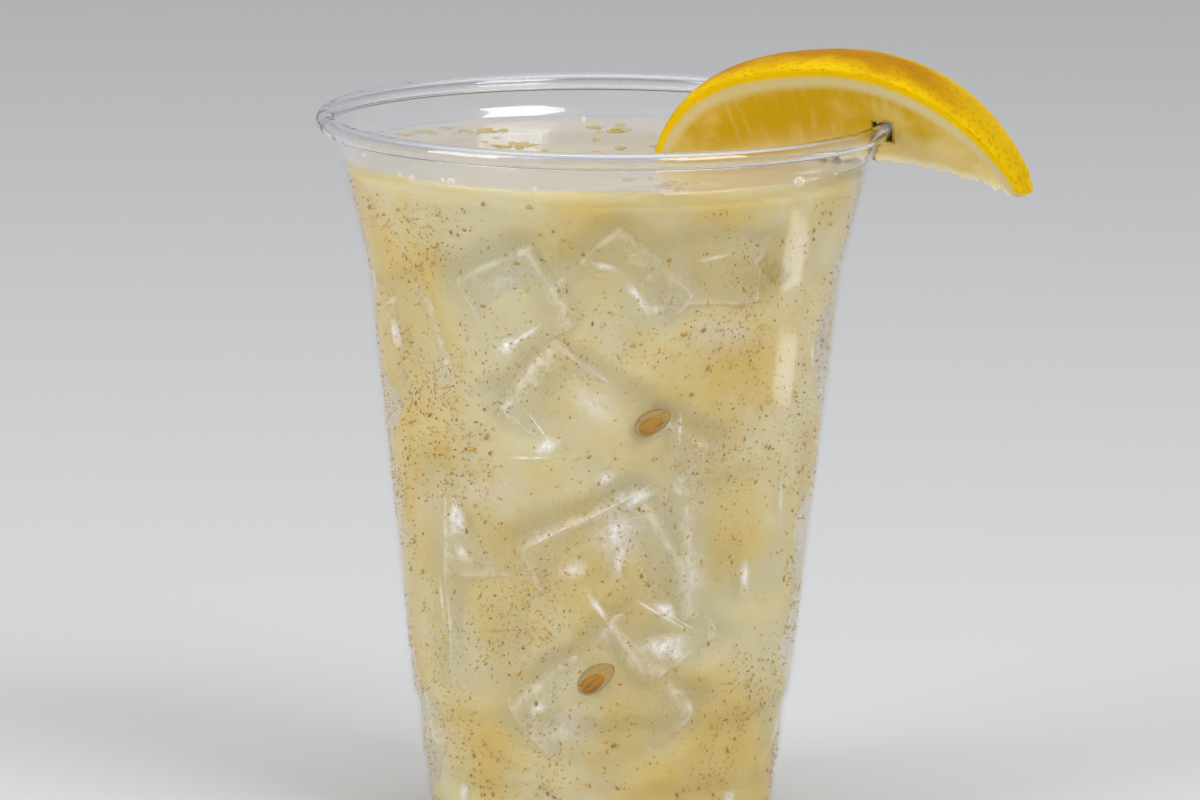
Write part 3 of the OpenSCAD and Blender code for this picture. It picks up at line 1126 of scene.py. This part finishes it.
class LEMONADE_OT_specks(bpy.types.Operator):
    """Scatter the fine specks of zest and spice behind the wall"""

    bl_idname = "lemonade.specks"
    bl_label = "Specks"

    def execute(self, context):
        wall_r = inner_wall(context.scene.lemonade_cup)
        draw = random.Random(29)
        ball, ball_faces = small_ball(1)
        points, faces, tones = [], [], []
        wanted = context.scene.lemonade_drink.specks
        spots = [(turn, height, draw.uniform(0.42, 0.62), 0.35) for turn, height in BIG_SPECKS]
        for middle, centre, spread, count in SPECK_CROWDS:
            for _ in range(count):
                height = draw.gauss(centre, spread)
                if not SPECK_LOW < height < SPECK_HIGH:
                    continue
                turn = middle + math.degrees(draw.gauss(0, spread) * MM / float(wall_r(height * MM)))
                spots.append((turn, height, draw.uniform(0.12, 0.26), draw.uniform(0.1, 0.24)))
        while len(spots) < wanted:
            turn, height = draw.uniform(-180, 180), draw.uniform(SPECK_LOW, SPECK_HIGH)
            r = float(wall_r(height * MM))
            place, _ = wall_frame(turn, height * MM, r)
            crowd = noise.noise(place * 75) + 0.5 * noise.noise(place * 240)
            if draw.random() * 0.8 < crowd + 0.2:
                radius = min(0.1 + draw.expovariate(12), 0.4)
                spots.append((turn, height, radius, draw.random() ** 1.6 * SPECK_DEEPEST * TO_MM + 0.15))
        for turn, height, radius, depth in spots:
            r = float(wall_r(height * MM)) - depth * MM
            place, _ = wall_frame(turn, height * MM, r)
            shape = np.array([draw.uniform(0.8, 1.5), draw.uniform(0.5, 0.9), draw.uniform(0.4, 0.8)])
            tilt = Euler([draw.uniform(0, math.tau) for _ in range(3)]).to_matrix()
            blob = (ball * shape * radius * MM) @ np.array(tilt).T + np.array(place)
            reach = np.hypot(blob[:, 0], blob[:, 1])
            past = max(0.0, (reach - wall_r(blob[:, 2])).max() + SPECK_CLEAR)
            blob[:, :2] *= 1 - past / r
            start = len(points)
            points.extend(blob.tolist())
            faces.extend([[p + start for p in face] for face in ball_faces])
            tones.extend([min(1.0, draw.random() * 0.8 + radius * 0.6)] * len(blob))
        new_piece("specks", points, faces, [speck_body(colours())], stored={"tone": tones})
        return {"FINISHED"}


def small_ball(subdivisions):
    """Points and faces of a ball of radius 1."""
    work = bmesh.new()
    bmesh.ops.create_icosphere(work, subdivisions=subdivisions, radius=1)
    points = np.array([v.co for v in work.verts])
    faces = [[v.index for v in face.verts] for face in work.faces]
    work.free()
    return points, faces


# The seeds against the wall: turn, height in millimetres, spin in degrees, share of full length
SEEDS = [(13, 72.8, 27, 0.93), (-1.5, 28.5, 38, 1.0)]
SEED_STEPS = 40
SEED_SIDES = 28
SEED_TIP_JOIN = 0.001 * MM


class LEMONADE_OT_seeds(bpy.types.Operator):
    """Make the lemon seeds that rest against the wall"""

    bl_idname = "lemonade.seeds"
    bl_label = "Seeds"

    def execute(self, context):
        wall_r = inner_wall(context.scene.lemonade_cup)
        full = context.scene.lemonade_drink.seed_l
        points, faces, ribs, rims = [], [], [], []
        for number, (turn, height, spin, share) in enumerate(SEEDS):
            start = len(points)
            long = full * share
            thick = long * 0.15
            r = float(wall_r(height * MM)) - thick - 0.08 * MM
            place, axes = wall_frame(turn, height * MM, r)
            tilt = Matrix.Rotation(math.radians(spin), 3, "Z")
            for i in range(SEED_STEPS + 1):
                t = -math.cos(math.pi * i / SEED_STEPS)
                wide = long * 0.29 * (1 - abs(t) ** 2.3) ** 0.62 * (1 - 0.12 * t)
                for j in range(SEED_SIDES):
                    a = math.tau * j / SEED_SIDES
                    lens = math.copysign(abs(math.sin(a)) ** 1.15, math.sin(a))
                    local = Vector((t * long / 2, wide * math.cos(a), wide / 0.29 * 0.15 * lens))
                    local.y += 0.03 * long * (1 - t * t)
                    points.append(tuple(place + axes @ (tilt @ local)))
                    ribs.append((t * 1.2 + number * 7, math.cos(a) * 3.2, lens * 1.2))
                    rims.append(max(abs(math.cos(a)) ** 6, abs(t) ** 9))
            for i in range(SEED_STEPS):
                for j in range(SEED_SIDES):
                    k = (j + 1) % SEED_SIDES
                    a, b = start + i * SEED_SIDES, start + (i + 1) * SEED_SIDES
                    faces.append([a + j, a + k, b + k, b + j])
        seeds = new_piece(
            "seeds", points, faces, [seed_body(colours())], stored={"ribs": ribs, "rim": rims}
        )
        fix_normals(seeds, SEED_TIP_JOIN)
        return {"FINISHED"}


# Middle and spread, in degrees, of each group of bubbles round the wall
BUBBLE_GROUPS = [(-21, 2), (14, 3), (16, 4), (-38, 9), (150, 60), (215, 50), (80, 30)]


class LEMONADE_OT_bubbles(bpy.types.Operator):
    """Make the small bubbles that sit at the edge of the drink's surface"""

    bl_idname = "lemonade.bubbles"
    bl_label = "Bubbles"

    def execute(self, context):
        draw = random.Random(3)
        level = DRINK_HIGH[2]
        edge_r = float(inner_wall(context.scene.lemonade_cup)(level))
        work = bmesh.new()
        for _ in range(context.scene.lemonade_drink.bubbles):
            radius = min(0.15 + draw.expovariate(5), 0.9) * MM
            group = draw.choice(BUBBLE_GROUPS)
            turn = draw.gauss(*group)
            r = edge_r - radius - abs(draw.gauss(0, 1.6)) * MM
            place, _ = wall_frame(turn, level + radius * 0.25, r)
            bmesh.ops.create_icosphere(
                work, subdivisions=3, radius=radius, matrix=Matrix.Translation(place)
            )
        points = [tuple(v.co) for v in work.verts]
        faces = [[v.index for v in face.verts] for face in work.faces]
        work.free()
        new_piece("bubbles", points, faces, [bubble_body(colours())])
        return {"FINISHED"}


# ---------------------------------------------------------------- the lemon wedge

STATIONS = 150
FACE_STEPS = 30
PEEL_STEPS = 30
RIDGE_STEPS = 6
CAP_STEPS = 9
INNER_POWER = 3.5
OUTER_POWER = 2.1
TIP_MIDDLE = 0.42
SLIT_REACH = 30 * MM
SLIT_DEPTH_MM = 6.0


class LEMONADE_OT_wedge(bpy.types.Operator):
    """Make the lemon wedge with its peel, pith, juicy faces and ragged ridge"""

    bl_idname = "lemonade.wedge"
    bl_label = "Lemon wedge"

    def execute(self, context):
        w = context.scene.lemonade_wedge
        points, depths, grains, ridges, crowns = [], [], [], [], []
        rows = self.rows(w)
        for s, radius, cap in rows:
            ring, depth, across, crown = self.section(w, s, radius)
            if cap > 0:
                ring = self.rounded_tip(w, s, ring, cap)
            points.append(self.bent(w, s, ring))
            depths.append(depth)
            ridges.append(1 - across)
            crowns.append(crown)
            side = np.sign(ring[:, 0])
            grains.append(np.stack([np.full(len(ring), s * TO_MM), across * 20, side * 50], 1))
        count = len(points[0])
        faces = []
        for i in range(len(rows) - 1):
            for j in range(count):
                k = (j + 1) % count
                faces.append([i * count + j, i * count + k, (i + 1) * count + k, (i + 1) * count + j])
        faces.append(list(range(count))[::-1])
        faces.append([(len(rows) - 1) * count + j for j in range(count)])
        placed = self.on_rim(context.scene.lemonade_cup, w, np.vstack(points))
        wedge = new_piece(
            "lemon_wedge_cut",
            placed,
            faces,
            [lemon_body(colours(), w)],
            stored={
                "depth": np.concatenate(depths) * TO_MM,
                "grain": np.vstack(grains),
                "ridge": np.concatenate(ridges),
                "crown": np.concatenate(crowns),
            },
        )
        self.cut_slit(context.scene.lemonade_cup, w, wedge)
        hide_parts("lemon_wedge")
        return {"FINISHED"}

    @staticmethod
    def rows(w):
        """(place along the ridge, lemon radius, share of the tip's rounding) of each section."""
        tip_r = (w.trim + w.tip_h) / math.cos(w.wedge_angle / 2)
        half = w.wedge_l / 2
        body = []
        for t in np.sin(np.linspace(-math.pi / 2, math.pi / 2, STATIONS)):
            power = INNER_POWER if t < 0 else OUTER_POWER
            body.append((t * half, tip_r + (w.lemon_r - tip_r) * (1 - abs(t) ** power), 0.0))
        caps = []
        for i in range(1, CAP_STEPS + 1):
            cap = i / (CAP_STEPS + 0.25)
            caps.append((half + w.cap_l * math.sin(cap * math.pi / 2), tip_r, cap))
        start = [(-s, r, k) for s, r, k in reversed(caps)]
        return start + body + caps

    @staticmethod
    def rounded_tip(w, s, ring, cap):
        """A section drawn in as the tip's nose rounds off; its top starts down at the peel's own slope."""
        wane = math.cos(cap * math.pi / 2)
        middle = w.tip_h * TIP_MIDDLE
        tip_r = (w.trim + w.tip_h) / math.cos(w.wedge_angle / 2)
        slope = (INNER_POWER if s < 0 else OUTER_POWER) * (w.lemon_r - tip_r) / (w.wedge_l / 2)
        along = w.cap_l * math.sin(cap * math.pi / 2)
        top = middle + (w.tip_h - middle) * wane - slope * along * (1 - cap)
        bottom = middle * (1 - wane)
        up = ring[:, 1] / ring[:, 1].max()
        return np.stack([ring[:, 0] * wane, bottom + (top - bottom) * up], 1)

    @staticmethod
    def section(w, s, radius):
        """A section's points (across, up), and for each its depth under the peel, its distance from the
        ridge and its place across the peel."""
        half = w.wedge_angle / 2
        low = w.trim / math.cos(half)
        reach = np.linspace(0, 1, FACE_STEPS, endpoint=False)
        radii = low + (radius - low) * reach
        along = s * TO_MM
        wave = [noise.noise(Vector((along * 0.55, q * TO_MM * 0.12, 3.0))) for q in radii]
        sink = (0.12 + 0.14 * np.array(wave)) * MM * np.clip((radius - radii) / (2.5 * MM), 0, 1)
        turns = -half + sink / radii
        near = np.stack([radii * np.sin(turns), radii * np.cos(turns)], 1)
        broad = noise.noise(Vector((along * 0.8, 0, 0)))
        fine = noise.noise(Vector((along * 2.1, 4, 0)))
        ragged = broad + 0.6 * fine + 0.9
        near[:, 1] += ragged * 0.95 * MM * (1 - reach) ** 6
        far = near[::-1] * np.array([-1, 1])
        arc = np.linspace(-half, half, PEEL_STEPS)
        soft = 0.35 * MM * np.abs(arc / half) ** 8
        peel = np.stack([(radius - soft) * np.sin(arc), (radius - soft) * np.cos(arc)], 1)
        flat = np.linspace(far[-1], near[0], RIDGE_STEPS + 2)[1:-1]
        ring = np.vstack([near, peel, far, flat])
        ring[:, 1] -= w.trim
        depth = np.concatenate([radius - radii, np.zeros(PEEL_STEPS), (radius - radii)[::-1],
                                np.full(RIDGE_STEPS, radius - low)])
        span = w.lemon_r - low
        across = np.concatenate([(radii - low) / span, np.full(PEEL_STEPS, (radius - low) / span),
                                 ((radii - low) / span)[::-1], np.zeros(RIDGE_STEPS)])
        crown = np.concatenate([np.full(FACE_STEPS, -1.0), arc / half, np.ones(FACE_STEPS),
                                np.zeros(RIDGE_STEPS)])
        return ring, depth, across, crown

    @staticmethod
    def bent(w, s, ring):
        """A section set on the drooping line of the ridge."""
        bend_r = w.wedge_l / w.droop
        turn = s / bend_r
        return np.stack(
            [
                (bend_r + ring[:, 1]) * math.sin(turn),
                ring[:, 0],
                (bend_r + ring[:, 1]) * math.cos(turn) - bend_r,
            ],
            1,
        )

    @staticmethod
    def cut_slit(cup, w, wedge):
        """Cuts the slit that the cup's wall and lip sit in, a clearance wider than they are."""
        wall, _ = cup_path(cup)
        top = CUP_HIGH[2]
        reach = cup.wall / 2 + w.fit_gap
        under_lip = top - cup.roll_d - w.fit_gap
        lip_r = cup.neck_r - cup.wall + cup.roll_d + w.fit_gap
        inner = beside(wall, reach)
        inner = inner[inner[:, 1] > top - SLIT_REACH]
        outer = beside(wall, -reach)
        outer = outer[(outer[:, 1] > top - SLIT_REACH) & (outer[:, 1] < under_lip)]
        over_lip = [
            [cup.neck_r - cup.wall - w.fit_gap, top + w.fit_gap],
            [lip_r, top + w.fit_gap],
            [lip_r, under_lip],
            [cup.neck_r + w.fit_gap, under_lip],
        ]
        points, faces = lathe(np.vstack([outer[::-1], inner, over_lip]), cup.sides, closed=True)
        mesh = bpy.data.meshes.new("slit_cutter")
        mesh.from_pydata(points.tolist(), [], faces)
        mesh.materials.append(wedge.data.materials[0])
        for name, value in (("depth", SLIT_DEPTH_MM), ("ridge", 0.6), ("crown", -1.0)):
            layer = mesh.attributes.new(name, "FLOAT", "POINT")
            layer.data.foreach_set("value", np.full(len(points), value, np.float32))
        grain = mesh.attributes.new("grain", "FLOAT_VECTOR", "POINT")
        grain.data.foreach_set("vector", (points * TO_MM).astype(np.float32).ravel())
        cutter = bpy.data.objects.new("slit_cutter", mesh)
        bpy.context.collection.objects.link(cutter)
        fix_normals(cutter)
        cut = wedge.modifiers.new("slit", "BOOLEAN")
        cut.operation = "DIFFERENCE"
        cut.solver = "MANIFOLD"
        cut.object = cutter
        seen = wedge.evaluated_get(bpy.context.evaluated_depsgraph_get())
        whole = wedge.data
        wedge.data = bpy.data.meshes.new_from_object(seen)
        wedge.modifiers.clear()
        bpy.data.objects.remove(cutter)
        bpy.data.meshes.remove(mesh)
        bpy.data.meshes.remove(whole)

    @staticmethod
    def on_rim(cup, w, points):
        """Puts the wedge on the rim with the slit's end on top of the lip."""
        seat = Vector((cup.neck_r - cup.wall / 2, 0, CUP_HIGH[2] + w.fit_gap - w.slit_depth))
        place = (
            Matrix.Rotation(w.wedge_turn, 4, "Z")
            @ Matrix.Translation(seat)
            @ Matrix.Rotation(w.wedge_skew - w.wedge_turn, 4, "Z")
            @ Matrix.Rotation(-w.wedge_tilt, 4, "Y")
            @ Matrix.Translation((-w.slit_offset, 0, 0))
        )
        turn = np.array(place.to_3x3())
        return points @ turn.T + np.array(place.translation)


# ---------------------------------------------------------------- the stage

FLOOR_R = 9.0
CAMERA_AIM = (-0.00065, 0, 0.07076)
CAMERA_DISTANCE = 2.5
CAMERA_RISE = 9.35
CAMERA_ROLL = 0.5
CAMERA_LENS = 443.1
WORLD_TINT = (0.93, 0.95, 1.0, 1)
WORLD_STRENGTH = 0.55


class LEMONADE_OT_stage(bpy.types.Operator):
    """Set the pale floor, the soft studio lights and the camera"""

    bl_idname = "lemonade.stage"
    bl_label = "Stage"

    def execute(self, context):
        self.make_floor()
        self.make_lights(context.scene)
        self.make_camera(context.scene)
        return {"FINISHED"}

    @staticmethod
    def make_floor():
        """A wide round floor."""
        points, faces = lathe([[0, 0], [0.5, 0], [2, 0], [FLOOR_R, 0]], 64)
        mesh = bpy.data.meshes.new("studio_floor")
        mesh.from_pydata(points.tolist(), [], faces)
        mesh.materials.append(studio_floor(colours()))
        floor = bpy.data.objects.new("studio_floor", mesh)
        bpy.context.collection.objects.link(floor)

    @staticmethod
    def area_light(name, place, aim, size, power, tint=(1, 1, 1)):
        data = bpy.data.lights.new(name, "AREA")
        data.shape = "RECTANGLE"
        data.size, data.size_y = size
        data.energy = power
        data.color = tint
        light = bpy.data.objects.new(name, data)
        light.location = place
        light.rotation_euler = (Vector(aim) - Vector(place)).to_track_quat("-Z", "Y").to_euler()
        light.visible_camera = False
        bpy.context.collection.objects.link(light)

    def make_lights(self, scene):
        world = bpy.data.worlds.new("studio")
        world.use_nodes = True
        background = world.node_tree.nodes["Background"]
        background.inputs["Color"].default_value = WORLD_TINT
        background.inputs["Strength"].default_value = WORLD_STRENGTH
        scene.world = world
        middle = (0, 0, 0.07)
        self.area_light("key", (0.75, -0.75, 0.95), middle, (0.7, 0.7), 11.3)
        self.area_light("fill", (-0.9, -0.55, 0.55), middle, (0.6, 0.9), 8)
        self.area_light("top", (0.0, 0.2, 1.1), middle, (1.4, 1.0), 6)
        self.area_light("side_card", (0.15, 0.01, 0.042), (0, 0, 0.07), (0.04, 0.012), 0.008, (0.9, 0.9, 1))

    @staticmethod
    def make_camera(scene):
        """A long lens that looks down a little, rolled half a degree."""
        rise = math.radians(CAMERA_RISE)
        roll = math.radians(CAMERA_ROLL)
        data = bpy.data.cameras.new("camera")
        data.sensor_width = 36
        data.lens = CAMERA_LENS
        data.clip_end = 20
        camera = bpy.data.objects.new("camera", data)
        away = Vector((0, -math.cos(rise), math.sin(rise)))
        tilt = Matrix.Rotation(math.pi / 2 - rise, 4, "X") @ Matrix.Rotation(roll, 4, "Z")
        camera.matrix_world = Matrix.Translation(Vector(CAMERA_AIM) + away * CAMERA_DISTANCE) @ tilt
        bpy.context.collection.objects.link(camera)
        scene.camera = camera
        scene.view_settings.view_transform = "Standard"
        scene.cycles.transparent_max_bounces = 20


# ---------------------------------------------------------------- sidebar and registering


class LEMONADE_PT_panel(bpy.types.Panel):
    """Lists the pieces in the sidebar"""

    bl_idname = "LEMONADE_PT_panel"
    bl_label = "Iced lemonade"
    bl_space_type = "VIEW_3D"
    bl_region_type = "UI"
    bl_category = "Lemonade"

    def draw(self, context):
        for operator in PIECES:
            self.layout.operator(operator.bl_idname)
        for group in ("lemonade_cup", "lemonade_wedge", "lemonade_drink", "lemonade_colours"):
            settings = getattr(context.scene, group)
            box = self.layout.box()
            for name in settings.__annotations__:
                box.prop(settings, name)


PIECES = (
    LEMONADE_OT_cup,
    LEMONADE_OT_ice,
    LEMONADE_OT_drink,
    LEMONADE_OT_glints,
    LEMONADE_OT_specks,
    LEMONADE_OT_seeds,
    LEMONADE_OT_bubbles,
    LEMONADE_OT_pulp,
    LEMONADE_OT_wedge,
    LEMONADE_OT_stage,
)
GROUPS = {
    "lemonade_cup": CupSizes,
    "lemonade_wedge": WedgeSizes,
    "lemonade_drink": DrinkSizes,
    "lemonade_colours": Colours,
}
CLASSES = (*GROUPS.values(), *PIECES, LEMONADE_PT_panel)


def register():
    for cls in CLASSES:
        bpy.utils.register_class(cls)
    for name, group in GROUPS.items():
        setattr(bpy.types.Scene, name, PointerProperty(type=group))


def unregister():
    for name in GROUPS:
        delattr(bpy.types.Scene, name)
    for cls in reversed(CLASSES):
        bpy.utils.unregister_class(cls)


def main():
    """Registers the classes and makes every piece."""
    register()
    for operator in PIECES:
        group, name = operator.bl_idname.split(".")
        getattr(getattr(bpy.ops, group), name)()


if __name__ == "__main__":
    main()
